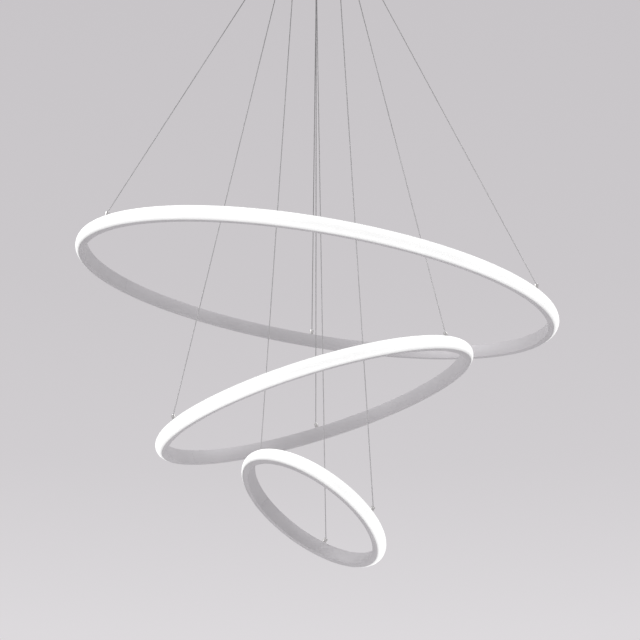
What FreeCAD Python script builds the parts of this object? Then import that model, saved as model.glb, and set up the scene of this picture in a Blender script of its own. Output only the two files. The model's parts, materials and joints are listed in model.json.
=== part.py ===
# LED ring chandelier: three lit aluminium rings, each hung at its own slant on three steel wires
# from one round ceiling canopy. Millimetres. The origin is on the ceiling, in the middle of the
# canopy; +Z is up, and the room is seen along +Y.
import FreeCAD, Part
import Sketcher
import math
import os

SIZES = [
    # canopy and what fastens it to the ceiling
    ("canopy_diameter", 200, "outside of the round steel shell"),
    ("canopy_height", 36, "ceiling to the shell's lower face"),
    ("canopy_wall", 1.2, "sheet of the shell"),
    ("canopy_bevel", 4, "bevelled lower edge"),
    ("bracket_width", 16, "flat steel strip across the canopy"),
    ("bracket_thickness", 1.5, "sheet of the strip"),
    ("bracket_drop", 22, "ceiling to the end of a turned-down tab"),
    ("bracket_bend", 2.25, "outside of the strip's two bends"),
    ("bracket_fit", 0.2, "tab corner to the shell's inside"),
    ("slot_spacing", 100, "middle to middle of the two ceiling slots"),
    ("slot_length", 18, "end to end of a ceiling slot"),
    ("slot_width", 5, "for a ceiling screw"),
    ("mains_hole_diameter", 10, "for the lead from the ceiling"),
    ("side_screw_drop", 14, "ceiling to the side screws' axis"),
    ("side_screw_diameter", 4, "M4"),
    ("side_screw_length", 8, "under the head"),
    ("side_screw_head", 9, "knurled head"),
    ("side_screw_head_length", 5, "knurled head"),
    ("driver_length", 72, "one supply for each ring"),
    ("driver_width", 34, "supply"),
    ("driver_height", 20, "supply"),
    ("driver_corner", 3, "rounding of the case's upright edges"),
    ("driver_lug", 9, "screw lug past each end"),
    ("driver_lug_width", 11, "screw lug"),
    ("driver_lug_thickness", 2, "screw lug"),
    ("driver_radius", 66, "canopy axis to the supply's middle"),
    ("driver_screw_diameter", 3, "M3"),
    ("driver_screw_head", 5.7, "pan head"),
    ("driver_screw_head_height", 2, "pan head"),
    ("screw_clearance", 0.2, "radial, screw in a hole that it only passes"),
    ("thread_fit", 0.05, "radial, threaded pieces in each other"),
    ("terminal_length", 30, "mains terminal block"),
    ("terminal_width", 18, "mains terminal block"),
    ("terminal_height", 14, "mains terminal block"),
    ("terminal_pitch", 9, "pole to pole"),
    ("terminal_well", 5, "screw well"),
    # wire grippers
    ("large_exit_radius", 60, "canopy axis to the large ring's grippers"),
    ("middle_exit_radius", 46.5, "canopy axis to the middle ring's grippers"),
    ("small_exit_radius", 33, "canopy axis to the small ring's grippers"),
    ("shank_diameter", 8, "threaded shank, M8 fine"),
    ("shank_height", 12, "shank above the canopy floor's upper face"),
    ("shank_fit", 0.15, "radial, shank in the canopy floor"),
    ("head_diameter", 10.6, "gripper head"),
    ("head_height", 10, "gripper head below the canopy"),
    ("head_band", 2.5, "straight part of the head, against the canopy"),
    ("head_taper", 1.2, "radial, towards the head's lower end"),
    ("nut_flats", 11, "across flats"),
    ("nut_height", 3, "lock nut"),
    ("plunger_bore", 6, "bore that the plunger runs in"),
    ("plunger_fit", 0.05, "radial running clearance of the plunger"),
    ("plunger_shoulder", 5.5, "length of the plunger's guided part"),
    ("nose_diameter", 4.8, "plunger nose that a finger presses"),
    ("plunger_travel", 2.5, "press to release the wire"),
    ("nose_left", 2, "nose that still stands out when it is pressed"),
    ("mouth_depth", 4.4, "flared mouth in the nose"),
    ("mouth_flare", 1.1, "radial, flared mouth at the nose's end"),
    ("lip_thickness", 1.5, "lip that keeps the plunger in"),
    ("roof_thickness", 1.5, "top of the gripper's chamber"),
    ("spring_wall", 0.8, "release spring, drawn as a sleeve"),
    ("spring_fit", 0.1, "radial, spring in its chamber"),
    # wires
    ("wire_diameter", 1.2, "coated steel wire"),
    ("wire_fit", 0.3, "radial, wire in the plunger and the chamber roof"),
    ("wire_bend_radius", 8, "bend in the plunger's flared mouth"),
    ("wire_tail", 7, "spare end above the gripper"),
    ("wire_end_gap", 0.06, "wire to its ball terminal"),
    ("ball_radius", 1.7, "ball terminal on the wire"),
    ("ball_fit", 0.05, "radial, ball in its cup"),
    ("cup_diameter", 4.8, "hanger cup"),
    ("cup_height", 6.5, "hanger cup above the ring"),
    ("cup_lip", 0.5, "lip above the ball's middle"),
    ("stud_diameter", 2, "threaded stud below the cup, M2"),
    ("stud_fit", 0.05, "radial, stud in its nut"),
    ("hanger_inset", 3, "channel's inner face to the hanger's axis"),
    ("hanger_nut_length", 8, "nut inside the channel"),
    ("hanger_nut_width", 2.8, "nut inside the channel"),
    ("hanger_nut_height", 2, "nut inside the channel"),
    # ring section
    ("profile_height", 17, "rolled aluminium channel"),
    ("profile_depth", 7, "channel, inner face to its open edge"),
    ("web_wall", 1.4, "channel's inner wall"),
    ("flange_wall", 1.2, "channel's top and bottom"),
    ("seam_gap", 0.15, "butt joint of the rolled channel"),
    ("seam_angle", 150, "where each channel is joined, from the ring's right side"),
    ("diffuser_bulge", 5.4, "opal cover past the channel's edge"),
    ("diffuser_wall", 1.5, "opal cover"),
    ("leg_length", 2.5, "cover's snap leg in the channel"),
    ("leg_thickness", 1.2, "cover's snap leg"),
    ("leg_fit", 0.1, "leg to the channel's flange"),
    ("board_height", 8, "flexible light strip"),
    ("board_thickness", 0.8, "strip with its tape"),
    ("board_fit", 0.1, "radial, strip to the channel's web"),
    ("chip_length", 3.5, "along the strip"),
    ("chip_height", 2.8, "across the strip"),
    ("chip_thickness", 0.7, "off the strip"),
    ("chip_pitch", 40, "along the strip"),
    ("key_side", 2.4, "square joining key inside the channel"),
    ("key_length", 36, "joining key"),
    ("key_fit", 0.08, "key to the channel"),
    ("key_screw_diameter", 2, "M2 grub screw"),
    ("key_screw_inset", 10, "seam to each grub screw"),
    # each ring: size, drop of its middle under the wire exits, place and slant as it hangs
    ("large_diameter", 600, "over the opal cover"),
    ("large_drop", 490, "wire exits to the ring's middle"),
    ("large_aside_x", 0, "ring's middle from the canopy axis"),
    ("large_aside_y", -7.5, "ring's middle from the canopy axis"),
    ("large_slant_angle_x", 10.7, "turn about X, degrees"),
    ("large_slant_angle_y", 9.4, "turn about Y, degrees"),
    ("large_twist_angle", 2.2, "turn about its own axis, degrees"),
    ("middle_diameter", 400, "over the opal cover"),
    ("middle_drop", 633, "wire exits to the ring's middle"),
    ("middle_aside_x", -0.7, "ring's middle from the canopy axis"),
    ("middle_aside_y", 7.6, "ring's middle from the canopy axis"),
    ("middle_slant_angle_x", 8.2, "turn about X, degrees"),
    ("middle_slant_angle_y", -17.2, "turn about Y, degrees"),
    ("middle_twist_angle", -3.1, "turn about its own axis, degrees"),
    ("small_diameter", 200, "over the opal cover"),
    ("small_drop", 762.3, "wire exits to the ring's middle"),
    ("small_aside_x", -3.4, "ring's middle from the canopy axis"),
    ("small_aside_y", 22.7, "ring's middle from the canopy axis"),
    ("small_slant_angle_x", -9.35, "turn about X, degrees"),
    ("small_slant_angle_y", 32.45, "turn about Y, degrees"),
    ("small_twist_angle", -9.5, "turn about its own axis, degrees"),
]
RINGS = ["large", "middle", "small"]
WIRE_ANGLES = {"left": 210, "right": 330, "far": 90}
# straight runs that stand for the curve of a cover's bulge, and of half a ball, in a section
BULGE_RUNS = 5
BALL_RUNS = 4
# how far the middle of a quarter bend stands from its two tangents, over its radius
BEND_MIDDLE = 1 - math.sqrt(0.5)
NUT_SIDES = 6

doc = FreeCAD.newDocument("ring_chandelier")
sheet = doc.addObject("Spreadsheet::Sheet", "Sizes")
for row, (alias, number, note) in enumerate(SIZES, start=1):
    sheet.set(f"A{row}", alias)
    sheet.set(f"B{row}", str(number))
    sheet.set(f"C{row}", note)
    sheet.setAlias(f"B{row}", alias)
doc.recompute()


class Size:
    """A length that carries both its number and the sheet formula that gives it."""

    def __init__(self, number, formula):
        self.number = float(number)
        self.formula = formula

    @staticmethod
    def of(thing):
        return thing if isinstance(thing, Size) else Size(thing, f"({thing})")

    def _with(self, other, sign, number):
        return Size(number, f"({self.formula} {sign} {other.formula})")

    def __add__(self, other):
        other = Size.of(other)
        return self._with(other, "+", self.number + other.number)

    def __sub__(self, other):
        other = Size.of(other)
        return self._with(other, "-", self.number - other.number)

    def __mul__(self, other):
        other = Size.of(other)
        return self._with(other, "*", self.number * other.number)

    def __truediv__(self, other):
        other = Size.of(other)
        return self._with(other, "/", self.number / other.number)

    def __neg__(self):
        return Size(0, "0") - self

    def __rsub__(self, other):
        return Size.of(other) - self

    __radd__ = __add__
    __rmul__ = __mul__

    def root(self):
        return Size(math.sqrt(self.number), f"sqrt({self.formula})")


def size(alias):
    """A driving size, straight from the sheet."""
    return Size(sheet.get(alias), f"Sizes.{alias}")


class Via:
    """A point that an arc passes through on its way to the next corner of an outline."""

    def __init__(self, across, along):
        self.across = Size.of(across)
        self.along = Size.of(along)


def origin_part(body, role):
    """One of a body's own origin planes or axes."""
    return next(item for item in body.Origin.OriginFeatures if item.Role == role)


def new_body(label):
    body = doc.addObject("PartDesign::Body", label)
    body.Label = label
    return body


def new_sketch(body, role, label, lift=None):
    """An empty sketch on an origin plane, moved along the plane's normal by lift."""
    sketch = body.newObject("Sketcher::SketchObject", label)
    sketch.AttachmentSupport = [(origin_part(body, role), "")]
    sketch.MapMode = "FlatFace"
    if lift is not None:
        sketch.setExpression(".AttachmentOffset.Base.z", lift.formula)
    return sketch


def bind_datum(sketch, kind, *where, value):
    """Add a dimension to a sketch and tie it to its sheet formula."""
    index = sketch.addConstraint(Sketcher.Constraint(kind, *where, value.number))
    name = f"size{index}"
    sketch.renameConstraint(index, name)
    sketch.setExpression(f"Constraints.{name}", value.formula)


def pin_point(sketch, geometry, end, across, along):
    """Fix one point of a sketch at (across, along) from the sketch's origin."""
    bind_datum(sketch, "DistanceX", geometry, end, value=across)
    bind_datum(sketch, "DistanceY", geometry, end, value=along)


def flat_point(corner):
    return FreeCAD.Vector(Size.of(corner[0]).number, Size.of(corner[1]).number, 0)


def draw_outline(sketch, corners):
    """A closed outline: straight from corner to corner, or an arc where a Via stands between."""
    runs = []
    start, via = corners[0], None
    for item in list(corners[1:]) + [corners[0]]:
        if isinstance(item, Via):
            via = item
            continue
        runs.append((start, via, item))
        start, via = item, None
    drawn = []
    for begin, through, finish in runs:
        first, last = flat_point(begin), flat_point(finish)
        if through is None:
            drawn.append((sketch.addGeometry(Part.LineSegment(first, last), False), 1, 2))
            continue
        middle = FreeCAD.Vector(through.across.number, through.along.number, 0)
        # a sketch keeps its arcs anticlockwise, so a clockwise run is drawn from its far end
        if (middle - first).cross(last - middle).z > 0:
            drawn.append((sketch.addGeometry(Part.Arc(first, middle, last), False), 1, 2))
        else:
            drawn.append((sketch.addGeometry(Part.Arc(last, middle, first), False), 2, 1))
    for (index, tail, head), (following, next_tail, next_head) in zip(drawn, drawn[1:] + drawn[:1]):
        sketch.addConstraint(Sketcher.Constraint("Coincident", index, head, following, next_tail))
    for (index, tail, head), (begin, through, finish) in zip(drawn, runs):
        pin_point(sketch, index, tail, Size.of(begin[0]), Size.of(begin[1]))
        if through is not None:
            point = FreeCAD.Vector(through.across.number, through.along.number, 0)
            mark = sketch.addGeometry(Part.Point(point), True)
            pin_point(sketch, mark, 1, through.across, through.along)
            sketch.addConstraint(Sketcher.Constraint("PointOnObject", mark, 1, index))


def draw_circle(sketch, across, along, radius):
    """A circle of a given radius round (across, along)."""
    across, along, radius = Size.of(across), Size.of(along), Size.of(radius)
    centre = FreeCAD.Vector(across.number, along.number, 0)
    index = sketch.addGeometry(Part.Circle(centre, FreeCAD.Vector(0, 0, 1), radius.number), False)
    bind_datum(sketch, "Radius", index, value=radius)
    pin_point(sketch, index, 3, across, along)


def revolve(body, corners, turn=None, label="turned"):
    """Turn an outline, drawn as (radius, height), about the body's Z axis."""
    sketch = new_sketch(body, "XZ_Plane", f"{label}_section")
    draw_outline(sketch, corners)
    feature = body.newObject("PartDesign::Revolution", label)
    feature.Profile = sketch
    feature.ReferenceAxis = (sketch, ["V_Axis"])
    if turn is not None:
        feature.setExpression("Angle", turn.formula)
    return feature


def pad(body, sketch, length, label="block", both_ways=False):
    feature = body.newObject("PartDesign::Pad", label)
    feature.Profile = sketch
    if both_ways:
        feature.SideType = "Symmetric"
    feature.setExpression("Length", length.formula)
    return feature


def pocket(body, sketch, label, depth=None, upward=False, both_ways=False):
    """Cut a sketch away, right through unless a depth is given."""
    feature = body.newObject("PartDesign::Pocket", label)
    feature.Profile = sketch
    if both_ways:
        feature.SideType = "Symmetric"
    if depth is None:
        feature.Type = "ThroughAll"
    else:
        feature.setExpression("Length", depth.formula)
    feature.Reversed = upward
    return feature


def turn_about(angle, axis=(0, 0, 1)):
    return FreeCAD.Placement(FreeCAD.Vector(), FreeCAD.Rotation(FreeCAD.Vector(*axis), angle))


def move_to(across, along, up):
    return FreeCAD.Placement(FreeCAD.Vector(across, along, up), FreeCAD.Rotation())


def copies(label, pattern, places, placement=None):
    """One sub-part of several like solids: the pattern piece at each place."""
    doc.recompute()
    feature = doc.addObject("Part::Feature", label)
    feature.Label = label
    feature.Shape = Part.makeCompound([pattern.Shape.transformed(place.Matrix) for place in places])
    if placement is not None:
        feature.Placement = placement
    return feature


# sizes that several pieces share
canopy_inner = size("canopy_diameter") / 2 - size("canopy_wall")
floor_top = size("canopy_wall") - size("canopy_height")
canopy_bottom = -size("canopy_height")
head_bottom = canopy_bottom - size("head_height")
shank_top = floor_top + size("shank_height")
nose_bottom = head_bottom - size("plunger_travel") - size("nose_left")
chamber_roof = shank_top - size("roof_thickness")
plunger_seat = head_bottom + size("lip_thickness")
plunger_top = plunger_seat + size("plunger_shoulder")
wire_hole = size("wire_diameter") / 2 + size("wire_fit")
half_profile = size("profile_height") / 2
cup_centre = half_profile + size("cup_height") - size("cup_lip")


def ring_radii(ring):
    """Channel's inner face, its open edge and the opal cover's crown."""
    crown = size(f"{ring}_diameter") / 2
    edge = crown - size("diffuser_bulge")
    return edge - size("profile_depth"), edge, crown


def ring_pose(ring):
    """Where a ring hangs: twisted on its own axis, slanted, then lowered to its drop."""
    slant_x = sheet.get(f"{ring}_slant_angle_x")
    slant_y = sheet.get(f"{ring}_slant_angle_y")
    slant = FreeCAD.Rotation(FreeCAD.Vector(slant_x, slant_y, 0), math.hypot(slant_x, slant_y))
    twist = FreeCAD.Rotation(FreeCAD.Vector(0, 0, 1), sheet.get(f"{ring}_twist_angle"))
    height = nose_bottom.number - sheet.get(f"{ring}_drop")
    middle = FreeCAD.Vector(sheet.get(f"{ring}_aside_x"), sheet.get(f"{ring}_aside_y"), height)
    return FreeCAD.Placement(middle, slant.multiply(twist))


def hanger_place(ring, side):
    """A hanger's frame on its ring: on the channel, X outwards from the ring's middle."""
    radius = ring_radii(ring)[0].number + sheet.get("hanger_inset")
    return turn_about(WIRE_ANGLES[side]).multiply(move_to(radius, 0, 0))


def ball_middle(ring, side):
    """The middle of a wire's ball terminal, as the ring hangs."""
    local = hanger_place(ring, side).multVec(FreeCAD.Vector(0, 0, cup_centre.number))
    return ring_pose(ring).multVec(local)


def exit_point(ring, side):
    """Where a wire leaves its plunger's nose."""
    angle = math.radians(WIRE_ANGLES[side])
    radius = sheet.get(f"{ring}_exit_radius")
    return FreeCAD.Vector(radius * math.cos(angle), radius * math.sin(angle), nose_bottom.number)


def gripper_places():
    return [move_to(exit_point(ring, side).x, exit_point(ring, side).y, 0)
            for ring in RINGS for side in WIRE_ANGLES]


def make_canopy():
    """A spun steel cup, open to the ceiling, with a hole for each gripper and each side screw."""
    body = new_body("canopy_shell")
    outer = size("canopy_diameter") / 2
    bevel = size("canopy_bevel")
    # the bevel keeps the sheet's thickness, square to its slope
    inner_bevel = bevel - size("canopy_wall") * 2 * BEND_MIDDLE
    revolve(body, [
        (0, canopy_bottom),
        (outer - bevel, canopy_bottom),
        (outer, canopy_bottom + bevel),
        (outer, 0),
        (canopy_inner, 0),
        (canopy_inner, floor_top + inner_bevel),
        (canopy_inner - inner_bevel, floor_top),
        (0, floor_top),
    ], label="shell")
    row = new_sketch(body, "XY_Plane", "gripper_row", canopy_bottom)
    for ring in RINGS:
        draw_circle(row, 0, size(f"{ring}_exit_radius"), size("shank_diameter") / 2 + size("shank_fit"))
    hole = pocket(body, row, "gripper_holes", size("canopy_wall") * 2, upward=True)
    rows = body.newObject("PartDesign::PolarPattern", "gripper_rows")
    rows.Originals = [hole]
    rows.Axis = (origin_part(body, "Z_Axis"), [""])
    rows.Angle = 360
    rows.Occurrences = len(WIRE_ANGLES)
    body.Tip = rows
    doc.recompute()
    sides = new_sketch(body, "YZ_Plane", "side_screw_hole")
    draw_circle(sides, 0, -size("side_screw_drop"),
                size("side_screw_diameter") / 2 + size("screw_clearance"))
    pocket(body, sides, "side_screw_holes", size("canopy_diameter") * 2, both_ways=True)
    feet = new_sketch(body, "XY_Plane", "driver_screw_hole", canopy_bottom)
    reach = size("driver_length") / 2 + size("driver_lug") / 2
    for way in (-1, 1):
        draw_circle(feet, reach * way, -size("driver_radius"),
                    size("driver_screw_diameter") / 2 + size("screw_clearance"))
    foot = pocket(body, feet, "driver_screw_holes", size("canopy_wall") * 2, upward=True)
    around = body.newObject("PartDesign::PolarPattern", "driver_screws_around")
    around.Originals = [foot]
    around.Axis = (origin_part(body, "Z_Axis"), [""])
    around.Angle = 360
    around.Occurrences = len(RINGS)
    body.Tip = around
    return body


def make_bracket():
    """A steel strip on the ceiling, its ends turned down inside the shell for the side screws."""
    body = new_body("ceiling_bracket")
    half_width = size("bracket_width") / 2
    reach_square = (canopy_inner - size("bracket_fit")) * (canopy_inner - size("bracket_fit"))
    reach = (reach_square - half_width * half_width).root()
    sheet_steel = size("bracket_thickness")
    drop = -size("bracket_drop")
    bend = size("bracket_bend")
    inner_bend = bend - sheet_steel
    side = new_sketch(body, "XZ_Plane", "strip_side")
    draw_outline(side, [
        (-reach, drop),
        (-(reach - sheet_steel), drop),
        (-(reach - sheet_steel), -bend),
        Via(-(reach - sheet_steel - inner_bend * BEND_MIDDLE), -(sheet_steel + inner_bend * BEND_MIDDLE)),
        (-(reach - bend), -sheet_steel),
        (reach - bend, -sheet_steel),
        Via(reach - sheet_steel - inner_bend * BEND_MIDDLE, -(sheet_steel + inner_bend * BEND_MIDDLE)),
        (reach - sheet_steel, -bend),
        (reach - sheet_steel, drop),
        (reach, drop),
        (reach, -bend),
        Via(reach - bend * BEND_MIDDLE, -(bend * BEND_MIDDLE)),
        (reach - bend, 0),
        (-(reach - bend), 0),
        Via(-(reach - bend * BEND_MIDDLE), -(bend * BEND_MIDDLE)),
        (-reach, -bend),
    ])
    pad(body, side, size("bracket_width"), "strip", both_ways=True)
    slots = new_sketch(body, "XY_Plane", "ceiling_slot")
    radius = size("slot_width") / 2
    straight = size("slot_length") / 2 - radius
    for way in (-1, 1):
        middle = size("slot_spacing") / 2 * way
        draw_outline(slots, [
            (middle - straight, -radius),
            (middle + straight, -radius),
            Via(middle + straight + radius, 0),
            (middle + straight, radius),
            (middle - straight, radius),
            Via(middle - straight - radius, 0),
        ])
    draw_circle(slots, 0, 0, size("mains_hole_diameter") / 2)
    pocket(body, slots, "ceiling_slots", sheet_steel * 2)
    doc.recompute()
    tabs = new_sketch(body, "YZ_Plane", "tab_thread")
    draw_circle(tabs, 0, -size("side_screw_drop"), size("side_screw_diameter") / 2)
    pocket(body, tabs, "tab_threads", size("canopy_diameter"), both_ways=True)
    return body


def make_side_screws():
    """Two knurled screws through the shell into the bracket's tabs."""
    pattern = new_body("side_screw_pattern")
    head = size("side_screw_head") / 2
    shank = size("side_screw_diameter") / 2 - size("thread_fit")
    long = size("side_screw_length")
    tall = size("side_screw_head_length")
    revolve(pattern, [
        (0, -long), (shank, -long), (shank, 0), (head, 0), (head, tall), (0, tall),
    ], label="screw")
    reach = sheet.get("canopy_diameter") / 2
    height = -sheet.get("side_screw_drop")
    outward = turn_about(90, (0, 1, 0))
    places = [turn_about(angle).multiply(move_to(reach, 0, height)).multiply(outward)
              for angle in (0, 180)]
    return copies("side_screws", pattern, places)


def make_gripper_bodies():
    """Nine turned brass grippers: a threaded shank through the canopy, a tapered head below it."""
    pattern = new_body("gripper_pattern")
    shank = size("shank_diameter") / 2
    head = size("head_diameter") / 2
    bore = size("plunger_bore") / 2
    lip = size("nose_diameter") / 2 + size("plunger_fit") * 2
    revolve(pattern, [
        (lip, head_bottom),
        (head - size("head_taper"), head_bottom),
        (head, canopy_bottom - size("head_band")),
        (head, canopy_bottom),
        (shank, canopy_bottom),
        (shank, shank_top),
        (wire_hole, shank_top),
        (wire_hole, chamber_roof),
        (bore, chamber_roof),
        (bore, plunger_seat),
        (lip, plunger_seat),
    ], label="gripper")
    return copies("gripper_bodies", pattern, gripper_places())


def make_gripper_nuts():
    """A hexagon lock nut on each gripper's shank, on the canopy floor."""
    pattern = new_body("gripper_nut_pattern")
    corner = size("nut_flats") / 2 / math.cos(math.pi / NUT_SIDES)
    outline = new_sketch(pattern, "XY_Plane", "hexagon", floor_top)
    turns = [math.pi * (2 * number + 1) / NUT_SIDES for number in range(NUT_SIDES)]
    draw_outline(outline, [(corner * math.cos(turn), corner * math.sin(turn)) for turn in turns])
    draw_circle(outline, 0, 0, size("shank_diameter") / 2 + size("thread_fit"))
    pad(pattern, outline, size("nut_height"), "nut")
    turned = []
    for place, side in zip(gripper_places(), [side for ring in RINGS for side in WIRE_ANGLES]):
        turned.append(place.multiply(turn_about(WIRE_ANGLES[side])))
    return copies("gripper_nuts", pattern, turned)


def make_springs():
    """The spring over each plunger, drawn as the sleeve that it fills."""
    pattern = new_body("spring_pattern")
    outer = size("plunger_bore") / 2 - size("spring_fit")
    inner = outer - size("spring_wall")
    revolve(pattern, [
        (inner, plunger_top), (outer, plunger_top), (outer, chamber_roof), (inner, chamber_roof),
    ], label="spring")
    return copies("gripper_springs", pattern, gripper_places())


def make_plunger(ring, side):
    """The release plunger: guided shoulder, finger nose, and a flared mouth for the wire."""
    body = new_body(f"plunger_{ring}_{side}")
    shoulder = size("plunger_bore") / 2 - size("plunger_fit")
    nose = size("nose_diameter") / 2
    revolve(body, [
        (wire_hole, nose_bottom + size("mouth_depth")),
        (wire_hole + size("mouth_flare"), nose_bottom),
        (nose, nose_bottom),
        (nose, plunger_seat),
        (shoulder, plunger_seat),
        (shoulder, plunger_top),
        (wire_hole, plunger_top),
    ], label="plunger")
    place = exit_point(ring, side)
    body.Placement = move_to(place.x, place.y, 0)
    return body


def make_drivers():
    """Three flat supplies on the canopy floor, one between each two rows of grippers."""
    pattern = new_body("driver_pattern")
    half_long = size("driver_length") / 2
    half_wide = size("driver_width") / 2
    lug = size("driver_lug")
    block = new_sketch(pattern, "XY_Plane", "case_outline", floor_top)
    draw_outline(block, [(-half_long, -half_wide), (half_long, -half_wide),
                         (half_long, half_wide), (-half_long, half_wide)])
    case = pad(pattern, block, size("driver_height"), "case")
    doc.recompute()
    upright = [f"Edge{number}" for number, edge in enumerate(case.Shape.Edges, start=1)
               if abs(edge.tangentAt(edge.FirstParameter).z) > 0.9]
    rounded = pattern.newObject("PartDesign::Fillet", "case_corners")
    rounded.Base = (case, upright)
    rounded.setExpression("Radius", "Sizes.driver_corner")
    doc.recompute()
    lug_edge = size("driver_lug_width") / 2
    foot = new_sketch(pattern, "XY_Plane", "lug_outline", floor_top)
    draw_outline(foot, [(-(half_long + lug), -lug_edge), (half_long + lug, -lug_edge),
                        (half_long + lug, lug_edge), (-(half_long + lug), lug_edge)])
    pad(pattern, foot, size("driver_lug_thickness"), "lugs")
    doc.recompute()
    holes = new_sketch(pattern, "XY_Plane", "lug_hole", floor_top)
    for way in (-1, 1):
        draw_circle(holes, (half_long + lug / 2) * way, 0,
                    size("driver_screw_diameter") / 2 + size("screw_clearance"))
    pocket(pattern, holes, "lug_holes", size("driver_lug_thickness") * 2, upward=True)
    places = [turn_about(angle).multiply(move_to(0, -sheet.get("driver_radius"), 0))
              for angle in (0, 120, 240)]
    return copies("led_drivers", pattern, places)


def make_driver_screws():
    """Two pan-head screws for each supply, into the canopy floor."""
    pattern = new_body("driver_screw_pattern")
    shank = size("driver_screw_diameter") / 2
    seat = floor_top + size("driver_lug_thickness")
    head = size("driver_screw_head") / 2
    head_top = seat + size("driver_screw_head_height")
    revolve(pattern, [
        (0, canopy_bottom), (shank, canopy_bottom), (shank, seat), (head, seat),
        (head, head_top), (0, head_top),
    ], label="screw")
    reach = sheet.get("driver_length") / 2 + sheet.get("driver_lug") / 2
    places = [turn_about(angle).multiply(move_to(reach * way, -sheet.get("driver_radius"), 0))
              for angle in (0, 120, 240) for way in (-1, 1)]
    return copies("driver_screws", pattern, places)


def make_terminal_block():
    """A three-pole block for the mains lead, with a screw well and a wire way for each pole."""
    body = new_body("terminal_block")
    half_long = size("terminal_length") / 2
    half_wide = size("terminal_width") / 2
    outline = new_sketch(body, "XY_Plane", "block_outline", floor_top)
    draw_outline(outline, [(-half_long, -half_wide), (half_long, -half_wide),
                           (half_long, half_wide), (-half_long, half_wide)])
    pad(body, outline, size("terminal_height"), "block")
    doc.recompute()
    wells = new_sketch(body, "XY_Plane", "screw_well", floor_top + size("terminal_height"))
    for pole in (-1, 0, 1):
        for way in (-1, 1):
            draw_circle(wells, size("terminal_pitch") * pole, half_wide / 2 * way,
                        size("terminal_well") / 2)
    pocket(body, wells, "screw_wells", size("terminal_height") / 2)
    doc.recompute()
    ways = new_sketch(body, "XZ_Plane", "wire_way")
    for pole in (-1, 0, 1):
        draw_circle(ways, size("terminal_pitch") * pole, floor_top + size("terminal_height") / 3,
                    size("terminal_well") / 2)
    pocket(body, ways, "wire_ways", size("terminal_width") * 2, both_ways=True)
    return body


def make_channel(ring):
    """The rolled aluminium channel, open outwards, butted at one seam and drilled for its hangers."""
    inner, edge = ring_radii(ring)[:2]
    web = inner + size("web_wall")
    shelf = half_profile - size("flange_wall")
    body = new_body(f"{ring}_channel")
    gap = size("seam_gap") / inner * (180 / math.pi)
    revolve(body, [
        (inner, -half_profile), (edge, -half_profile), (edge, -shelf), (web, -shelf),
        (web, shelf), (edge, shelf), (edge, half_profile), (inner, half_profile),
    ], turn=360 - gap, label="channel")
    doc.recompute()
    holes = new_sketch(body, "XY_Plane", "hanger_hole", half_profile)
    for side in WIRE_ANGLES.values():
        # the sketch is drawn before the body turns its seam into place
        around = Size.of(side) - size("seam_angle")
        radius = inner + size("hanger_inset")
        across = Size(radius.number * math.cos(math.radians(around.number)),
                      f"({radius.formula} * cos({around.formula} * 1deg))")
        along = Size(radius.number * math.sin(math.radians(around.number)),
                     f"({radius.formula} * sin({around.formula} * 1deg))")
        draw_circle(holes, across, along, size("stud_diameter") / 2 + size("stud_fit") * 2)
    pocket(body, holes, "hanger_holes", size("flange_wall") * 2)
    doc.recompute()
    low, high = key_section(ring)[2:]
    turn = math.degrees(sheet.get("key_screw_inset") / inner.number)
    for name, way in (("before", 1), ("after", -1)):
        seam = new_sketch(body, "YZ_Plane", f"key_screw_hole_{name}")
        seam.AttachmentOffset = turn_about(turn * way, (0, 1, 0))
        for level in (-1, 1):
            draw_circle(seam, 0, (low + high) / 2 * level,
                        size("key_screw_diameter") / 2 + size("stud_fit"))
        pocket(body, seam, f"key_screw_holes_{name}", web * 2, upward=True)
        doc.recompute()
    body.Placement = ring_pose(ring).multiply(turn_about(sheet.get("seam_angle")))
    return body


def bulge_points(edge, half_height, rise, steps):
    """A cover's bulge as short runs: points along the arc that stands rise past edge at mid-height."""
    curve = (half_height * half_height + rise * rise) / (rise * 2)
    swing = 2 * math.atan(rise.number / half_height.number)
    points = []
    for step in range(1, steps):
        angle = swing * (2 * step / steps - 1)
        points.append((edge + rise - curve * (1 - math.cos(angle)), curve * math.sin(angle)))
    return points


def make_diffuser(ring):
    """The opal cover: a bulged skin with a leg that snaps in under each of the channel's flanges."""
    edge = ring_radii(ring)[1]
    body = new_body(f"{ring}_diffuser")
    leg_out = half_profile - size("flange_wall") - size("leg_fit")
    leg_in = leg_out - size("leg_thickness")
    leg_end = edge - size("leg_length")
    rise = size("diffuser_bulge")
    outside = bulge_points(edge, half_profile, rise, BULGE_RUNS)
    inside = bulge_points(edge, leg_in, rise - size("diffuser_wall"), BULGE_RUNS - 2)
    revolve(body, [
        (edge, -half_profile),
        *outside,
        (edge, half_profile),
        (edge, leg_out),
        (leg_end, leg_out),
        (leg_end, leg_in),
        (edge, leg_in),
        *reversed(inside),
        (edge, -leg_in),
        (leg_end, -leg_in),
        (leg_end, -leg_out),
        (edge, -leg_out),
    ], label="cover")
    body.Placement = ring_pose(ring)
    return body


def make_board(ring):
    """The light strip's flexible board, taped round the channel's web."""
    inner = ring_radii(ring)[0] + size("web_wall") + size("board_fit")
    outer = inner + size("board_thickness")
    half = size("board_height") / 2
    body = new_body(f"{ring}_led_board")
    revolve(body, [(inner, -half), (outer, -half), (outer, half), (inner, half)], label="strip")
    body.Placement = ring_pose(ring)
    return body


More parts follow.
